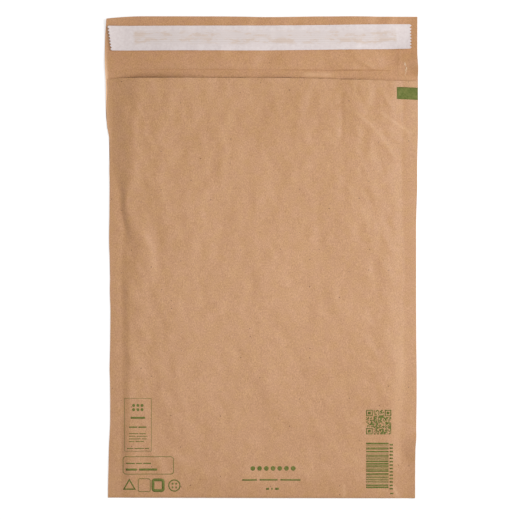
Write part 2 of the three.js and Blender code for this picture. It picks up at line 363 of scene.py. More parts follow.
flap = dict(
    bends=((0, 12, 1.0),),  # its bends fade in past the mouth
    bareLift=((138, 20, 1.2),), bareRun=3.0,  # the bare left edge beside the mouth turns up
    endLift=((-92, 34, 1.0),), endRun=14,  # the end stands off a little at the left
    rise=0.0011, riseFrom=162,  # and curves up as the square of the distance
    # ripples are lower beside the seal strip, which stiffens the paper, and at the left edge
    ripples=((1.0, 16, 22, 35, 31), (0.8, 34, 30, 20, 33), (0.36, 6.5, 10, -30, 32)),
    stiff=((0, 11, -0.55),), leftShare=0.15, leftRise=((0, 75, 0.85),),
    creases=((((70, 167), (82, 158), (92, 152)), 2.6, 1.1, 1.4), (((82, 168), (98, 158)), 2.0, 0.7, 1.4),
             (((-127, 188.2), (-120, 187.8), (-112, 187.3)), 0.9, -0.6)),
    # at the right the glue's end marks the paper, and it bends up along two lines
    glueMark=(((112.0, 142), (111.8, 156), (112.2, 170)), 0.8, 0.42), glueMarkFrom=((0, 3, 1.0),),
    bend=0.10, bendAt=110, bendTop=((167, -8, 1.0),), bendFrom=((0, 10, 1.0),),
    edgeBend=0.24, edgeBendAt=120.5, spring=((0, 5, 0.35),),
    ridge=((1.3, 1.3, 0.45),), ridgeFrom=((-5, 50, 1.0),),  # beside the score, by the way past the lip
    score=((0.3, 0.42, -0.22),), scoreEnd=((114, -14, 1.0),),
    lipFolds=((46, 15, 0.6, 1.8, 0.5), (64, 8, 1.5, 2.0, 0.3)),  # x, reach, y past the mouth, reach, height
)


def flapLift(x, y):  # height of the back ply off the table
    f = flap
    past, fromLip = y - mouthY, y - lipLine(x)
    bare = bulges(y, f["bareLift"]) * np.clip(1 - (x - sideEdges(y, False)[0]) / f["bareRun"], 0, 1) ** 2
    endEdge = bulges(x, f["endLift"]) * np.clip((y - flapEndY + f["endRun"]) / f["endRun"], 0, 1) ** 2
    still = 1 + bulges(y - (stripLow[1] + stripHigh[1]) / 2, f["stiff"])
    ripple = sum(height * (1 + still * softNoise(x, y, *cell)) for height, *cell in f["ripples"])
    ripple = ripple * (f["leftShare"] + steps(x + halfWidth, f["leftRise"]))
    bent = f["bend"] * pastLine(x, f["bendAt"]) * steps(y, f["bendTop"])
    bent = (bent + f["edgeBend"] * pastLine(x, f["edgeBendAt"])) * steps(past, f["bendFrom"])
    embossed = crease(x, y, *f["glueMark"]) * steps(past, f["glueMarkFrom"])
    endRise = f["rise"] * np.square(np.clip(y - f["riseFrom"], 0, None))
    scored = bulges(fromLip, f["ridge"]) * steps(x, f["ridgeFrom"]) + bulges(fromLip, f["score"])
    scored = scored * steps(x, f["scoreEnd"]) + steps(past, f["spring"])
    lipFolds = sum(height * bell((x - atX) / reachX) * bell((past - atY) / reachY)
                   for atX, reachX, atY, reachY, height in f["lipFolds"])
    bends = steps(past, f["bends"]) * (endEdge + ripple + creases(x, y, f["creases"])) + embossed + bent
    curl = outline["curlLift"] * cornerCurl(x, y)
    return curl + bare + bends + endRise + scored + lipFolds + cornerTurn(x, y)


# meshes

sharpPaper = 40  # degrees: cut edges stay sharp, folds are shaded smooth
foldSteps = 8  # rows round the bottom fold


def quads(index):  # the faces between neighbours in a grid of point numbers
    return np.stack([index[:-1, :-1], index[:-1, 1:], index[1:, 1:], index[1:, :-1]], -1).reshape(-1, 4)


def closedMesh(name, outer, inner):
    # closed skin over two grids of points with the same rows and columns, faces turned outwards
    points = np.concatenate([outer.reshape(-1, 3), inner.reshape(-1, 3)]) * mm
    index = np.arange(outer[..., 0].size).reshape(outer.shape[:2])
    top = quads(index)
    border = np.concatenate([index[0], index[1:, -1], index[-1, -2::-1], index[-2:0:-1, 0]])
    after = np.roll(border, -1)
    walls = np.stack([after, border, border + index.size, after + index.size], -1)
    faces = np.concatenate([top, top[:, ::-1] + index.size, walls])
    a, b, c, d = (points[faces[:, k]] for k in range(4))
    volume = np.einsum("ij,ij->i", a, np.cross(b, c) + np.cross(c, d)).sum()
    piece = newMesh(name, points, faces if volume > 0 else faces[:, ::-1], sharpPaper)
    mark(piece, "innerFace", np.repeat([0, 1], index.size))  # 0 on the outer grid, 1 on the inner one
    return piece


def newMesh(name, points, faces, sharp):
    mesh = bpy.data.meshes.new(name)
    mesh.from_pydata(points.tolist(), [], faces.tolist())
    mesh.validate()
    mesh.shade_smooth()
    mesh.set_sharp_from_angle(angle=math.radians(sharp))
    piece = bpy.data.objects.new(name, mesh)
    bpy.context.scene.collection.objects.link(piece)
    return piece


def mark(piece, name, values):  # one number for each point, which a material can read
    layer = piece.data.attributes.new(name, "FLOAT", "POINT")
    layer.data.foreach_set("value", np.clip(values, 0, 1).astype(np.float32).ravel())


def foldedFace(depth, edges, shares, backRows, frontRows, foldLine, endLine):
    # one face of a web: down the back wall, round the bottom fold, up the front wall to the mouth.
    # depth(x, y) is how far it lies inside the outer ply, shares place the columns between its edges
    def spread(y, front):
        left, right = edges(y, front)
        return left + (right - left) * shares

    y = backRows[:, None] + 0 * shares
    x = spread(y, False)
    stretch = (endLine(x) - mouthY) / max(backRows[0] - mouthY, 1)
    y = np.where(y > mouthY, mouthY + (y - mouthY) * stretch, y)
    back = np.stack([x, y, plyThick + depth(x, y) + flapLift(x, y)], -1)
    x = spread(foldY + 0 * shares, False)
    bent = cornerTurn(x, foldLine(x))
    rise = frontLift(x, foldLine(x)) - bent
    centre = foldLine(x) + plyThick + rise / 2
    radius = rise / 2 - depth(x, foldY + 0 * x)
    turn = np.linspace(0, np.pi, foldSteps)[1:-1, None]
    height = plyThick + bent + rise / 2 - radius * np.cos(turn)
    fold = np.stack([x + 0 * turn, centre - radius * np.sin(turn), height], -1)
    back[:, :, 1] = np.maximum(back[:, :, 1], centre)
    y = centre + (mouthLine(x) - centre) * frontRows[:, None]
    x = spread(y, True)
    front = np.stack([x, y, plyThick + frontLift(x, y) - depth(x, y)], -1)
    return np.concatenate([back, fold, front])


def stops(*runs):  # (from, to, spacing) runs joined into one rising list
    counts = [max(2, round(abs(end - start) / gap) + 1) for start, end, gap in runs]
    return np.unique(np.concatenate([np.linspace(*run[:2], count) for run, count in zip(runs, counts)]))


# outer sheet: flap, back, bottom fold and front in one web

# painted highlights on the turned-up left edge beside the mouth and on the lining's lip where it bends over
highlightPlaces = dict(edgeAt=((139, 22, 1.0),), edgeShare=1.3, edgeRun=2.0,  # the turned-up left edge beside the mouth
            lip=((40, 6, 0.45), (53, 6, 0.45)), lipAt=((2.4, 1.9, 1.0),))  # the lining where it bends over


def rimHighlight(x, y):  # share of the painted highlight: it fades inwards from the edge
    inside = np.abs(x - sideEdges(y, False)[0])
    return np.sqrt(bulges(y, highlightPlaces["edgeAt"])) * np.clip(highlightPlaces["edgeShare"] - inside / highlightPlaces["edgeRun"], 0, 1)


def sheetFold(x):
    return foldY - outline["foldDrop"] - outline["foldSlant"] * x / halfWidth


def sheetEnd(x):  # askew and wavy, pulled in at the curled corner
    straight = flapEndY - outline["endDrop"] - outline["endSlant"] * x / halfWidth
    return straight + bulges(x, outline["endBulges"]) - outline["curlDown"] * cornerCurl(x, flapEndY)


def outerSheet():
    across = stops((-halfWidth, -halfWidth + 3, 0.6), (-halfWidth + 3, -80, 1.2), (-80, 60, 1.9),
                   (60, halfWidth, 1.1))
    shares = (across + halfWidth) / (2 * halfWidth)
    backRows = stops((flapEndY, lipY + 4, 1.9), (lipY + 4, lipY + 2.4, 0.7), (lipY + 2.4, lipY - 0.6, 0.33),
                     (lipY - 0.6, mouthY, 0.9), (mouthY, mouthY - 48, 8), (mouthY - 48, foldY + 60, 24),
                     (foldY + 60, foldY, 6))[::-1]
    frontRows = stops((0, 0.78, 2.0 / pocketDepth), (0.78, 1, 1.2 / pocketDepth))
    web = (sideEdges, shares, backRows, frontRows, sheetFold, sheetEnd)
    grids = [foldedFace(lambda x, y: inwards + 0 * x, *web) for inwards in (-plyThick, 0)]
    for grid in grids:  # the curled corner also draws in from the side
        grid[..., 0] += outline["curlIn"] * cornerCurl(grid[..., 0], grid[..., 1])
    piece = closedMesh("kraft_sheet", *grids)
    places = np.stack(grids)
    paintedHighlight = rimHighlight(places[..., 0], places[..., 1])
    front = slice(-len(frontRows), None)
    paintedHighlight[:, front] += creases(places[:, front, :, 0], places[:, front, :, 1], foldHighlights)
    mark(piece, "paintedHighlight", paintedHighlight)  # carries the share of the painted highlight to the material
    return piece


def linedEdges(half, wobble, seed):  # straight edges of an inner web, cut a little unevenly every 18 mm
    def edges(y, front):
        return -half + edgeNoise(y, wobble, 18, seed), half + edgeNoise(y, wobble, 18, seed + 1)
    return edges


def innerFold(x):  # the inner webs turn round just inside the sheet's fold
    return foldY + 0.25 + 0 * x


# kraft lining: the pocket's own skin, its lip shows past the mouth

def liningEnd(x):
    return lipLine(x) + lineNoise(x, 0.15, 60, 41)


def kraftLining():
    shares = np.linspace(0, 1, 110)
    backRows = stops((lipY, mouthY - 6, 0.8), (mouthY - 6, foldY, 7))[::-1]
    frontRows = stops((0, 0.95, 6 / pocketDepth), (0.95, 1, 1.6 / pocketDepth))
    web = (linedEdges(liningHigh[0] - 0.3, 0.25, 42), shares, backRows, frontRows, innerFold, liningEnd)
    grids = [foldedFace(lambda x, y: wallDepth(x, y) - outwards, *web) for outwards in (pouch["lining"], 0)]
    piece = closedMesh("kraft_lining", *grids)
    places = np.stack(grids)
    # painted highlight on the lip where it bends over, none on the front wall
    paintedHighlight = bulges(places[..., 0], highlightPlaces["lip"]) * bulges(places[..., 1] - mouthY, highlightPlaces["lipAt"])
    paintedHighlight[:, len(backRows):] = 0
    mark(piece, "paintedHighlight", paintedHighlight)
    return piece


# cushion layer: creped paper between sheet and lining, pressed thin at seams and fold

# the front cushion's cut peeps out past the ply at the mouth and is painted near-black: painted shade of the
# gap
cushionMake = dict(
    skin=0.05, crepe=0.03, crepeEvery=4.4, crepeShift=1.3, thinnest=0.06,
    # the front one peeps out past the ply, most at the left, with a ragged cut: noise is height, cell, seed
    peep=0.08, peepSteps=((5, -15, 0.1),), peepBulges=((-88, 24, 0.36), (22, 14, 0.28), (72, 9, 0.25)),
    peepNoise=(0.12, 24, 54), frontCut=(0.12, 1.6, 52), backShort=0.4, backCut=(0.3, 2.2, 53),
)


def crepeWave(x, shift):
    return cushionMake["crepe"] * (1 + np.sin(2 * np.pi * x / cushionMake["crepeEvery"] + shift))


def cushionOuter(x, y):
    return cushionMake["skin"] + crepeWave(x, 0)


def cushionInner(x, y):  # fills the wall up to the lining, but never thinner than crushed paper
    c = cushionMake
    room = wallDepth(x, np.minimum(y, mouthY)) - pouch["lining"] - c["skin"]
    return np.maximum(room - crepeWave(x, c["crepeShift"]), cushionOuter(x, y) + c["thinnest"])


def cushionLayer():
    c = cushionMake
    shares = np.linspace(0, 1, 150)
    backRows = stops((mouthY, mouthY - 12, 1), (mouthY - 12, foldY, 8))[::-1]
    frontRows = stops((0, 0.96, 8 / pocketDepth), (0.96, 1, 1 / pocketDepth))
    edges = linedEdges(padHigh[0] - 0.5, 0.4, 51)
    web = (edges, shares, backRows, frontRows, innerFold, lambda x: mouthY + 0 * x)
    grids = [foldedFace(depth, *web) for depth in (cushionOuter, cushionInner)]
    for grid in grids:
        x = grid[-1, :, 0]
        peep = c["peep"] + steps(x, c["peepSteps"]) + bulges(x, c["peepBulges"])
        grid[-1, :, 1] += peep + lineNoise(x, *c["peepNoise"]) + lineNoise(x, *c["frontCut"])
        grid[0, :, 1] -= c["backShort"] + lineNoise(x, *c["backCut"])
    piece = closedMesh("cushion_layer", *grids)
    gapShadeMask = np.zeros(grids[0].shape[:2])
    gapShadeMask[-2:] = 1
    mark(piece, "gapShadeMask", np.tile(gapShadeMask.ravel(), 2))  # 1 along the cut at the mouth, where the painted shade goes
    return piece


# seam glue: flat films in the margins, and a thin trail of glue past the mouth on the right

glue = dict(mouthGap=4, wander=0.4, wanderCell=(6, 14, 0, 61), inset=1.5, squeeze=0.3, under=0.02, less=0.06)
trail = dict(past=1.8, length=10.8, x=116.3, lean=-0.5, bow=1.7, wander=(0.35, 1.4, 62),
             half=0.32, halfNoise=(0.22, 1.9, 63), under=0.01, skin=0.03, height=0.12)


def filmOnBack(name, x, y, under, thick):  # a layer that lies this far over the back ply
    low = plyThick + flapLift(x, y) + under
    return closedMesh(name, np.stack([x, y, low + thick], -1), np.stack([x, y, low], -1))


def seamGlue(name, low, high):
    rows = np.linspace(low[1], min(high[1], mouthY - glue["mouthGap"]), 120)
    x, y = np.meshgrid(np.linspace(low[0], high[0], 7), rows)
    x = x + glue["wander"] * softNoise(x, y, *glue["wanderCell"])
    left, right = sideEdges(y, True)  # no glue squeezes out past the paper's edges
    left = left + glue["inset"] + glue["squeeze"] * (x - low[0])
    right = right - glue["inset"] - glue["squeeze"] * (high[0] - x)
    return filmOnBack(name, np.clip(x, left, right), y, glue["under"], glueFilm - glue["less"])


def glueTrail():  # a bowed bead: its middle line, a half width to either side, a round top
    t = trail
    along, around = np.meshgrid(np.linspace(0, 1, 40), np.linspace(-1, 1, 7), indexing="ij")
    y = mouthY + t["past"] + t["length"] * along
    x = t["x"] + t["lean"] * along + t["bow"] * np.sin(np.pi * along) + lineNoise(y, *t["wander"])
    half = (t["half"] + lineNoise(y, *t["halfNoise"])) * np.sqrt(np.clip(4 * along * (1 - along), 0.02, 1))
    thick = t["skin"] + t["height"] * np.sqrt(np.clip(1 - around ** 2, 0, 1))
    return filmOnBack("glue_trail", x + half * around, y, t["under"], thick)


# seal strip on the flap: adhesive band under a peel-off paper with pinked ends

seal = dict(
    teeth=8, toothDepth=1.6, toothNoise=(0.18, 1, 71), slant=2.6, paperThick=0.09, adhesiveThick=0.12,
    under=0.01, lift=0.05, leftMore=1.1, rightMore=0.5,  # it ends a little further out than the CAD one
    bend=1.1, bendFrom=-20, bendRun=150,  # the right half was laid a little higher than the left
    # ends that stand off: height, run, how fast it fades from the lower edge up; and the lower edge
    leftLoose=(1.7, 15, 0), rightLoose=(2.3, 28, 1.6), edgeLoose=((-5, -60, 0.6), (10, 60, 0.5)), edgeFade=3,
    buckle=0.10, buckleCell=(20, 30, 12, 72), fold=(((94, 183.5), (101, 180), (108, 177.6)), 0.8, 0.18),
)


def stripBend(x):
    return seal["bend"] * smoothStep((x - seal["bendFrom"]) / seal["bendRun"])


def flapTackBand():
    x, y = np.meshgrid(np.linspace(tackLow[0], tackHigh[0], 130), np.linspace(tackLow[1], tackHigh[1], 8))
    return filmOnBack("tack_band", x, y + stripBend(x), seal["under"], seal["adhesiveThick"])


def peelStrip():
    s = seal
    t = np.linspace(0, 1, 4 * s["teeth"] + 1)
    zigzag = s["toothDepth"] * (1 - np.abs(2 * np.mod(t * s["teeth"], 1) - 1))
    uneven = lineNoise(5 * s["teeth"] * t, *s["toothNoise"])
    left = stripLow[0] - s["leftMore"] + s["toothDepth"] + s["slant"] * (1 - t) - zigzag + uneven
    right = stripHigh[0] + s["rightMore"] - s["toothDepth"] + zigzag - uneven
    share, height = np.meshgrid(np.linspace(0, 1, 200), t)
    x = left[:, None] + (right - left)[:, None] * share
    y = stripLow[1] + (stripHigh[1] - stripLow[1]) * height + stripBend(x)
    loose = steps(x, s["edgeLoose"]) * np.clip(1 - height * s["edgeFade"], 0, 1) ** 2
    for inside, (most, run, fade) in ((x - stripLow[0], s["leftLoose"]), (stripHigh[0] - x, s["rightLoose"])):
        loose = loose + most * np.clip(1 - inside / run, 0, 1) ** 2 * np.clip(1 - height * fade, 0, 1)
    buckle = s["buckle"] * (1 + softNoise(x, y, *s["buckleCell"])) * np.abs(2 * height - 1) ** 2
    under = s["adhesiveThick"] + s["lift"] + loose + buckle + crease(x, y, *s["fold"])
    return filmOnBack("peel_strip", x, y, under, s["paperThick"])


sheet = outerSheet()
lining = kraftLining()
cushion = cushionLayer()
glueLeft = seamGlue("seam_glue_left", gluedLeftLow, gluedLeftHigh)
glueRight = seamGlue("seam_glue_right", gluedLow, gluedHigh)
trailBead = glueTrail()
tackBand = flapTackBand()
peel = peelStrip()
print("paper:", len(sheet.data.polygons), "faces in the sheet,", len(lining.data.polygons), "in the lining")


# print on the front wall: plain fields, bars and outlines in one green ink

ink = dict(lineWidth=0.5, above=0.07, thick=0.05, cell=1.6, sharp=60)


def inkPiece(name, patches):
    # patches are grids of x and y whose faces look up; each becomes a thin closed film on the paper
    points, faces, first = [], [], 0
    for x, y in patches:
        points += [np.stack([x, y, 2 * plyThick + frontLift(x, y) + ink["above"]], -1).reshape(-1, 3)]
        faces += [quads(np.arange(x.size).reshape(x.shape)) + first]
        first += x.size
    piece = newMesh(name, np.concatenate(points) * mm, np.concatenate(faces), ink["sharp"])
    film = piece.modifiers.new("film", "SOLIDIFY")
    film.thickness = ink["thick"] * mm
    film.offset = -1
    return piece


def bar(x0, x1, y0, y1):
    columns, rows = math.ceil((x1 - x0) / ink["cell"]) + 1, math.ceil((y1 - y0) / ink["cell"]) + 1
    return np.meshgrid(np.linspace(x0, x1, columns), np.linspace(y0, y1, rows))


def ring(path, width):  # a closed line of ink: the path and its inner offset, longer at the corners
    after = np.roll(path, -1, 0)
    inward, side = (np.stack([-v[:, 1], v[:, 0]], -1) / np.linalg.norm(v, axis=1, keepdims=True)
                    for v in (after - np.roll(path, 1, 0), after - path))
    miter = np.abs(np.sum(inward * side, axis=1, keepdims=True))
    both = np.stack([path, path + inward * width / np.maximum(miter, 0.4)])
    both = np.concatenate([both, both[:, :1]], axis=1)
    return both[..., 0], both[..., 1]


def dense(path):  # a closed path with more points along its sides
    path, sides = np.array(path, float), []
    for start, end in zip(path, np.roll(path, -1, 0)):
        count = max(1, math.ceil(np.linalg.norm(end - start) / ink["cell"]))
        sides += [start + (end - start) * np.linspace(0, 1, count, endpoint=False)[:, None]]
    return np.concatenate(sides)


def roundedPath(x0, x1, y0, y1, radius):  # counter-clockwise, quarter circles at the corners
    left, right, low, high = x0 + radius, x1 - radius, y0 + radius, y1 - radius
    arcs = []
    for k, middle in enumerate(((right, high), (left, high), (left, low), (right, low))):
        a = np.linspace(0, np.pi / 2, 6) + k * np.pi / 2
        arcs += [middle + radius * np.stack([np.cos(a), np.sin(a)], -1)]
    return dense(np.concatenate(arcs))


def disc(path):  # filled shape: rings shrinking to the middle
    middle = path.mean(0)
    rings = middle + (np.concatenate([path, path[:1]]) - middle) * np.linspace(1, 0.02, 4)[:, None, None]
    return rings[..., 0], rings[..., 1]


def circlePath(cx, cy, radius, count):
    a = np.linspace(0, 2 * np.pi, count, endpoint=False)
    return np.stack([cx + radius * np.cos(a), cy + radius * np.sin(a)], -1)


field = dict(x=110, inset=0.1, bottom=127.8, top=137.6, slant=0.035, edgeGap=0.15)


def edgeMark():  # solid field that runs off the right edge, printed a little askew
    f = field
    y = np.linspace(f["bottom"], f["top"], 9)[:, None]
    left, right = f["x"] + f["inset"], sideEdges(y, True)[1] - f["edgeGap"]
    x = left + (right - left) * np.linspace(0, 1, 22)
    return inkPiece("print_edge_mark", [(x, y - f["slant"] * (x - f["x"]))])


# four groups of outlines (path, line width), dots (middle, radius, corners) and greeked lines, in mm
label = dict(
    name="print_label_block", rings=((roundedPath(-110.4, -88.3, -157.2, -114.3, 0.4), 0.3),),
    dots=[(-99.4 + 3.4 * i, -121.8 + 3.4 * j, 1.2, 14) for i in (-1, 0, 1) for j in (-0.5, 0.5)],
    lines=((-105.2, -130.9, 1.6, 1, (11.6,)), (-106.5, -138.2, 1.1, 1, (6.6, 6.4)),
           (-106.5, -143.2, 0.6, 1, (7.5, 5.0)), (-106.5, -145.3, 0.6, 1, (5.2, 8.6)),
           (-106.5, -147.4, 0.6, 1, (9.4, 4.0)), (-106.5, -149.5, 0.6, 1, (4.4, 6.6)),
           (-108.2, -155.2, 0.7, 1, (5.2, 7.4, 3.4))))
note = dict(
    name="print_rounded_box", rings=((roundedPath(-111.7, -70.3, -175.9, -161.3, 2.6), ink["lineWidth"]),),
    lines=((-109.2, -167.4, 0.9, 1.1, (7.4, 4.6, 6.2)), (-109.2, -172.8, 1.7, 1.6, (9.2, 14.6))))
signs = dict(
    name="print_sorting_signs",
    rings=((dense(((-111.7, -188.4), (-101.0, -188.4), (-106.35, -179.2))), 1.0),
           (roundedPath(-99.4, -89.2, -190.2, -179.2, 1.6), ink["lineWidth"]),
           (roundedPath(-88.4, -77.8, -190.2, -179.2, 2.4), 2.3), (circlePath(-69.9, -184.9, 5.0, 28), 0.9)),
    dots=[(-69.9 + 1.5 * i, -184.9 + 1.5 * j, 0.8, 12) for i in (-1, 1) for j in (-1, 1)])
centre = dict(
    name="print_centre_mark", dots=[(x, -171.0, 1.9, 20) for x in np.linspace(-6.4, 26.2, 7)],
    lines=((-15.0, -180.9, 1.2, 2.2, (11.8, 14.6, 16.2)), (4.4, -188.4, 1.7, 2.0, (2.2, 1.0, 3.0))))


def printGroup(name, rings=(), dots=(), lines=()):
    patches = [ring(*row) for row in rings] + [disc(circlePath(*dot)) for dot in dots]
    for x, y, height, gap, words in lines:  # left end, bottom, height, gap, and a bar for each word
        for width in words:
            patches += [bar(x, x + width, y, y + height)]
            x += width + gap
    return inkPiece(name, patches)


code = dict(box=(85.2, 105.5, -143.5, -123.6), cells=27, corner=7, seed=5)


def codeBlock():  # made-up cells with a square in three corners
    (x0, x1, y0, y1), cells, c = code["box"], code["cells"], code["corner"]
    dark = np.random.default_rng(code["seed"]).random((cells, cells)) < 0.5
    for row, column in ((0, 0), (0, cells - c), (cells - c, 0)):
        dark[max(row - 1, 0):row + c + 1, max(column - 1, 0):column + c + 1] = False
        for inset in range(3):  # dark, light, dark from the outside in
            dark[row + inset:row + c - inset, column + inset:column + c - inset] = inset != 1
    stepX, stepY = (x1 - x0) / cells, (y1 - y0) / cells
    patches = []
    for row in range(cells):  # neighbouring dark cells of a row are one bar
        edges = np.flatnonzero(np.diff(np.concatenate([[0], dark[row], [0]])))
        for start, end in zip(edges[::2], edges[1::2]):
            top = y1 - stepY * row
            patches += [bar(x0 + stepX * start, x0 + stepX * end, top - stepY, top)]
    return inkPiece("print_code_block", patches)


bars = dict(box=(85.2, 103.4, -187.2, -150.3), thick=(0.5, 0.8, 1.2, 1.3), gaps=(0.5, 0.7, 1.1), seed=8,
            figures=(104.2, 106.9), figureFrom=-188.2, figureTo=-152.6, figureCount=14, figureHeight=1.2,
            lastFigure=(104.8, 107.4, -192.0, -190.9))


def barBlock():  # made-up horizontal bars with greeked figures beside them
    rng = np.random.default_rng(bars["seed"])
    left, right, bottom, y = bars["box"]
    patches = []
    while y > bottom:
        thick, gap = rng.choice(bars["thick"]), rng.choice(bars["gaps"])
        patches += [bar(left, right, y - thick, y)]
        y -= thick + gap
    for y in np.linspace(bars["figureFrom"], bars["figureTo"], bars["figureCount"]):
        patches += [bar(*bars["figures"], y, y + bars["figureHeight"])]
    return inkPiece("print_bar_block", patches + [bar(*bars["lastFigure"])])


prints = [edgeMark()] + [printGroup(**group) for group in (label, note, signs, centre)]
prints += [codeBlock(), barBlock()]
print("print:", len(prints), "groups")


# materials

def shade(hexColour):  # sRGB hex to linear colour
    parts = [int(hexColour[k:k + 2], 16) / 255 for k in (1, 3, 5)]
    return (*(v / 12.92 if v <= 0.04045 else ((v + 0.055) / 1.055) ** 2.4 for v in parts), 1)


def feed(tree, node, inputs):  # a socket or a node's first live output is linked, any other value is set
    for key, value in inputs.items():
        if isinstance(value, bpy.types.Node):
            value = next(socket for socket in value.outputs if socket.enabled)
        if isinstance(value, bpy.types.NodeSocket):
            tree.links.new(value, node.inputs[key])
        else:
            node.inputs[key].default_value = value


def put(tree, kind, inputs, ramp=(), **settings):  # adds a node with its settings and links
    made = tree.nodes.new("ShaderNode" + kind)
    for key, value in settings.items():
        setattr(made, key, value)
    for position, hexColour in ramp:
        made.color_ramp.elements.new(position).color = shade(hexColour)
    for end in (0, -1) if ramp else ():  # the two stops that a ramp comes with
        made.color_ramp.elements.remove(made.color_ramp.elements[end])
    feed(tree, made, inputs)
    return made


def newMaterial(name):
    material = bpy.data.materials.new(name)
    material.use_nodes = True
    add = functools.partial(put, material.node_tree)
    return material, add, add("TexCoord", {}).outputs["Object"]


def finished(material, tone, colour, more):  # colour and finish go on the shader's own sockets
    tree = material.node_tree
    feed(tree, tree.nodes["Principled BSDF"], {
        "Base Color": colour, "Roughness": tone["rough"], "Specular IOR Level": tone["specular"], **more})
    return material


def perMm(size):  # texture scale for a feature of this many mm, on metre coordinates
    return 1 / (size * mm)


def mottled(add, place, tone):  # clouds (size in mm, detail, roughness) of a dark and a light tone
    size, detail, rough = tone["clouds"]
    clouds = add("TexNoise", {"Vector": place, "Scale": perMm(size), "Detail": detail, "Roughness": rough})
    return clouds, add("ValToRGB", {"Fac": clouds}, ramp=((0.3, tone["dark"]), (0.7, tone["light"])))


# machine-glazed kraft: brown softwood fibres pressed smooth, so it shows fine fibre mottling along the web,
# clouds that are rosier or more golden, a few dark bark specks, and a soft sheen where it faces the lamp
# the palest tone is a painted highlight for the turned-up edge, the lining's lip and the fold ridges
kraft = dict(base="#BF9065", dark="#AF8056", light="#CFA076", speck="#6B452B", paintedHighlight="#E4B88F",
             rough=0.5, specular=0.5, golden=(1.0, 1.0, 0.93, 1), rosy=(1.015, 1.0, 1.07, 1),
             innerTint=(1.0, 0.97, 0.94, 1), less=-0.01,
             # fibres and hairs along the web, and clouds: size in mm, detail, roughness, twist, share
             pulp=((0.55, 2.0, 0.6, 0.0, 0.80), (2.6, 4.0, 0.7, 1.2, 0.12), (13, 3.0, 0.55, 0.0, 0.1)))


def kraftPaper(name, tone):
    material, add, place = newMaterial(name)
    along = add("Mapping", {"Vector": place, "Scale": (1.0, 0.5, 1.0)})
    pulp = tone["less"]
    for vector, (size, detail, rough, twist, share) in zip((along, along, place), tone["pulp"]):
        noise = add("TexNoise", {"Vector": vector, "Scale": perMm(size), "Detail": detail, "Roughness": rough,
                                 "Distortion": twist})
        pulp = add("Math", {0: noise, 1: share, 2: pulp}, operation="MULTIPLY_ADD")
    colour = add("ValToRGB", {"Fac": pulp},
                 ramp=((0.34, tone["dark"]), (0.5, tone["base"]), (0.66, tone["light"])))
    # hue clouds a few millimetres wide, without change of brightness, and a little rosier towards the fold
    hues = add("TexNoise", {"Vector": place, "Scale": perMm(7), "Detail": 3.0, "Roughness": 0.6})
    rosiness = add("MapRange", {"Value": hues, "From Min": 0.36, "From Max": 0.64})
    # painted tint of the light: a little rosier towards the fold
    xyz = add("SeparateXYZ", {"Vector": place})
    paintedLightTint = add("MapRange", {"Value": xyz.outputs["Y"], "From Min": mouthY * mm, "From Max": -mouthY * mm,
                             "To Max": 0.24})
    rosiness = add("Math", {0: rosiness, 1: paintedLightTint}, operation="ADD", use_clamp=True)
    tint = add("Mix", {0: rosiness, 6: tone["golden"], 7: tone["rosy"]}, data_type="RGBA")
    colour = add("Mix", {0: 1.0, 6: colour, 7: tint}, data_type="RGBA", blend_type="MULTIPLY")
    # specks: one in eight 8 mm cells holds a fleck about 0.9 mm wide, larger than real so that it shows
    cells = add("TexVoronoi", {"Vector": place, "Scale": perMm(8)}, voronoi_dimensions="2D")
    near = add("Math", {0: cells, 1: 0.055}, operation="LESS_THAN")
    chance = add("SeparateColor", {"Color": cells.outputs["Color"]})
    some = add("Math", {0: chance.outputs[0], 1: 0.875}, operation="GREATER_THAN")
    fleck = add("Math", {0: near, 1: some}, operation="MULTIPLY")
    fleck = add("Math", {0: fleck, 1: chance.outputs[1]}, operation="MULTIPLY")
    colour = add("Mix", {0: fleck, 6: colour, 7: shade(tone["speck"])}, data_type="RGBA")
    # the unglazed inner face, which shows on the flap, is duller and yellower; painted highlights are paler
    inner = add("Attribute", {}, attribute_name="innerFace").outputs["Fac"]
    colour = add("Mix", {0: inner, 6: colour, 7: tone["innerTint"]}, data_type="RGBA", blend_type="MULTIPLY")
    paintedHighlight = add("Attribute", {}, attribute_name="paintedHighlight").outputs["Fac"]
    colour = add("Mix", {0: paintedHighlight, 6: colour, 7: shade(tone["paintedHighlight"])}, data_type="RGBA")
    bump = add("Bump", {"Height": pulp, "Strength": 0.4, "Distance": 0.08 * mm})
    return finished(material, tone, colour, {"Normal": bump})


# creped cushion paper: grey-brown recycled stock, crimped in rows, quite matt; its cut at the mouth is
# painted near-black brown: painted shade of the gap under the front wall
creped = dict(dark="#A08364", light="#C7AA8B", cut="#523820", clouds=(1.8, 5.0, 0.7),
              rough=0.95, specular=0.15)


def crepedPaper():
    material, add, place = newMaterial("creped_recycled_paper")
    colour = mottled(add, place, creped)[1]
    # painted shade along the cut at the mouth
    cut = add("Attribute", {}, attribute_name="gapShadeMask").outputs["Fac"]
    colour = add("Mix", {0: cut, 6: colour, 7: shade(creped["cut"])}, data_type="RGBA")
    crimp = add("TexWave", {"Vector": place, "Scale": perMm(4.3425) * math.pi / 10, "Distortion": 2.0,
                            "Detail": 2.0})
    bump = add("Bump", {"Height": crimp.outputs["Fac"], "Strength": 0.6, "Distance": 0.3 * mm})
    return finished(material, creped, colour, {"Normal": bump})


# siliconised release paper: thin white stock with a dull shine; the adhesive under it shows as a duller band
# with ragged warm patches in two rows and faint lines
peelTone = dict(base="#E8DDDB", shadow="#DFD2D0", dull="#E1D5D2", warm="#DBC8BC", line="#B7A296",
                rough=0.5, specular=0.3, higher=0.1, ragged=3.0, edgeFrom=2.6, edgeTo=0.6,
                gapFrom=0.3, gapTo=1.3, gapShare=0.3)


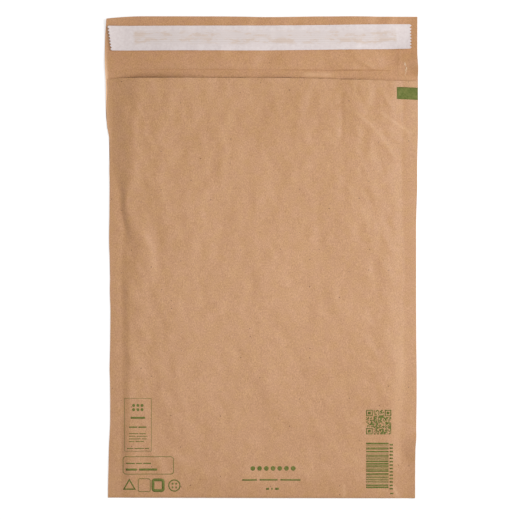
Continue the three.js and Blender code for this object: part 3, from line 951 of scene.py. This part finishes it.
def releasePaper():
    material, add, place = newMaterial("siliconised_release_paper")
    xyz = add("SeparateXYZ", {"Vector": place})
    p = peelTone
    middle, half = (tackLow + tackHigh) / 2, (tackHigh - tackLow) / 2
    middleY = middle[1] + seal["bend"] / 2 + p["higher"]
    # band mask: 1 inside the adhesive's outline, with a ragged edge about 2 mm wide
    ragged = add("TexNoise", {"Vector": place, "Scale": perMm(6), "Detail": 3.0})
    masks, away = [], []
    for axis, at in enumerate((middle[0], middleY)):
        off = add("Math", {0: xyz.outputs[axis], 1: at * mm}, operation="SUBTRACT")
        away += [add("Math", {0: off}, operation="ABSOLUTE")]
        edge = add("Math", {0: ragged, 1: p["ragged"] * mm, 2: away[axis]}, operation="MULTIPLY_ADD")
        masks += [add("MapRange", {"Value": edge, "From Min": (half[axis] + p["edgeFrom"]) * mm,
                                   "From Max": (half[axis] + p["edgeTo"]) * mm})]
    band = add("Math", {0: masks[0], 1: masks[1]}, operation="MULTIPLY")
    # the adhesive was laid in two rows: ragged patches show where it wets the paper
    rows = add("MapRange", {"Value": away[1], "From Min": p["gapFrom"] * mm,
                            "From Max": p["gapTo"] * mm, "To Min": p["gapShare"]})
    blotch = add("Mapping", {"Vector": place, "Scale": (0.28, 1.0, 1.0)})
    patches = add("TexNoise", {"Vector": blotch, "Scale": perMm(5.0), "Detail": 8.0, "Roughness": 0.74})
    wet = add("MapRange", {"Value": patches, "From Min": 0.49, "From Max": 0.54})
    wet = add("Math", {0: wet, 1: rows}, operation="MULTIPLY")
    warm = add("Math", {0: wet, 1: band}, operation="MULTIPLY")
    # faint lines along the strip, 1.7 mm apart
    stretched = add("Mapping", {"Vector": place, "Scale": (0.05, 1.0, 1.0)})
    lines = add("TexWave", {"Vector": stretched, "Scale": perMm(1.7) * math.pi / 10, "Distortion": 1.6,
                            "Detail": 2.0, "Detail Scale": 0.5}, bands_direction="Y")
    lined = add("MapRange", {"Value": lines.outputs["Fac"], "From Min": 0.5, "To Max": 0.16})
    lined = add("Math", {0: lined, 1: band}, operation="MULTIPLY")
    cloud = add("TexNoise", {"Vector": place, "Scale": perMm(2.4), "Detail": 4.0, "Roughness": 0.65})
    cloudy = add("MapRange", {"Value": cloud, "From Min": 0.35, "From Max": 0.65})
    colour = add("Mix", {0: cloudy, 6: shade(p["shadow"]), 7: shade(p["base"])}, data_type="RGBA")
    for share, tone in ((band, "dull"), (warm, "warm"), (lined, "line")):
        colour = add("Mix", {0: share, 6: colour, 7: shade(p[tone])}, data_type="RGBA")
    bump = add("Bump", {"Height": warm, "Strength": 0.4, "Distance": 0.05 * mm})
    return finished(material, p, colour, {"Normal": bump})


# flexographic ink on kraft: a thin green film, the fibres show through it in patches
inkTone = dict(dark="#4C5E1B", light="#818245", clouds=(3.0, 5.0, 0.75), rough=0.68, specular=0.25)


def flexoInk():
    material, add, place = newMaterial("flexographic_green_ink")
    thin, colour = mottled(add, place, inkTone)
    bump = add("Bump", {"Height": thin, "Strength": 0.4, "Distance": 0.1 * mm})
    return finished(material, inkTone, colour, {"Normal": bump})


# hot-melt glue: amber-white wax-like polymer, smooth, lets some light in
glueTone = dict(dark="#D2B08A", light="#EAD6B8", clouds=(2.5, 3.0, 0.5), rough=0.35, specular=0.5,
                letIn=0.15, letInRadius=(1.0 * mm, 0.8 * mm, 0.5 * mm))


def hotMelt():
    material, add, place = newMaterial("hot_melt_glue")
    colour = mottled(add, place, glueTone)[1]
    return finished(material, glueTone, colour, {"Subsurface Weight": glueTone["letIn"],
                                                 "Subsurface Radius": glueTone["letInRadius"]})


liningTone = dict(kraft, rough=0.6)
finishes = (
    (kraftPaper("machine_glazed_kraft", kraft), "kraft_paper", [sheet]),
    (kraftPaper("lining_kraft", liningTone), "lining_paper", [lining]),
    (crepedPaper(), "cushion_paper", [cushion]),
    (hotMelt(), "hot_melt_glue", [glueLeft, glueRight, trailBead, tackBand]),
    (releasePaper(), "silicone_paper", [peel]),
    (flexoInk(), "kraft_paper", prints),
)
for material, slotName, group in finishes:
    for piece in group:
        piece.data.materials.append(material)
        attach(piece, "root")
print("materials:", len(finishes))

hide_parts("outer_sheet")
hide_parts("inner_lining")
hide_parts("padding")
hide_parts("side_seam_glue_left")
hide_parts("side_seam_glue_right")
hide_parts("flap_adhesive")
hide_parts("release_liner")


# stage: white floor that keeps a soft shadow, a broad key lamp from the right, a near lamp above, an even sky

stage = dict(floorHalf=12.0, floorDrop=0.0004, floorTone=0.62, rough=1.0, specular=0.0, floorGlow=0.62,
             skyLevel=0.31, lamps=(("key_lamp", 6.9, 0.5, (0.60, 0.17, 0.9)),  # watts, size, place in m
                                   ("top_lamp", 0.38, 0.25, (-0.04, -0.065, 0.4))))


def seenRay(tree):  # 1 where the camera sees it, straight, in a gloss or through something
    path = put(tree, "LightPath", {}).outputs
    seen = put(tree, "Math", {0: path["Is Camera Ray"], 1: path["Is Glossy Ray"]}, operation="MAXIMUM")
    return put(tree, "Math", {0: seen, 1: path["Is Transmission Ray"]}, operation="MAXIMUM")


def whiteFloor():
    half, z = stage["floorHalf"], -stage["floorDrop"]
    points = np.array([(-half, -half, z), (half, -half, z), (half, half, z), (-half, half, z)])
    floor = newMesh("white_floor", points, np.array([(0, 1, 2, 3)]), sharpPaper)
    material, add, place = newMaterial("white_sweep")
    glow = add("Math", {0: seenRay(material.node_tree), 1: stage["floorGlow"]}, operation="MULTIPLY")
    more = {"Emission Color": (1, 1, 1, 1), "Emission Strength": glow}
    floor.data.materials.append(finished(material, stage, (*[stage["floorTone"]] * 3, 1), more))


def evenSky():
    world = bpy.data.worlds.new("even_sky")
    bpy.context.scene.world = world
    world.use_nodes = True
    tree = world.node_tree
    level = put(tree, "MapRange", {"Value": seenRay(tree), "To Min": stage["skyLevel"]})
    feed(tree, tree.nodes["Background"], {"Color": (1, 1, 1, 1), "Strength": level})


def areaLamp(name, watts, size, at):  # a square soft lamp aimed at the middle of the envelope
    lamp = bpy.data.lights.new(name, "AREA")
    lamp.energy, lamp.size = watts, size
    holder = bpy.data.objects.new(name, lamp)
    holder.location = at
    holder.rotation_euler = (-holder.location).to_track_quat("-Z", "Y").to_euler()
    holder.visible_camera = False
    bpy.context.scene.collection.objects.link(holder)


# camera straight above, the flap at the top of the picture
photo = dict(pixels=520, mmPerPixel=0.8103, middle=(-0.65, -2.5), distance=1.7, sensor=36)


def photoCamera():
    data = bpy.data.cameras.new("photo_camera")
    data.sensor_width = photo["sensor"]
    data.lens = photo["sensor"] * photo["distance"] / (photo["pixels"] * photo["mmPerPixel"] * mm)
    camera = bpy.data.objects.new("photo_camera", data)
    camera.location = (photo["middle"][0] * mm, photo["middle"][1] * mm, photo["distance"])
    bpy.context.scene.collection.objects.link(camera)
    bpy.context.scene.camera = camera


whiteFloor()
evenSky()
for lamp in stage["lamps"]:
    areaLamp(*lamp)
photoCamera()
bpy.context.scene.view_settings.view_transform = "Standard"
print("stage: floor, sky, two lamps and camera")
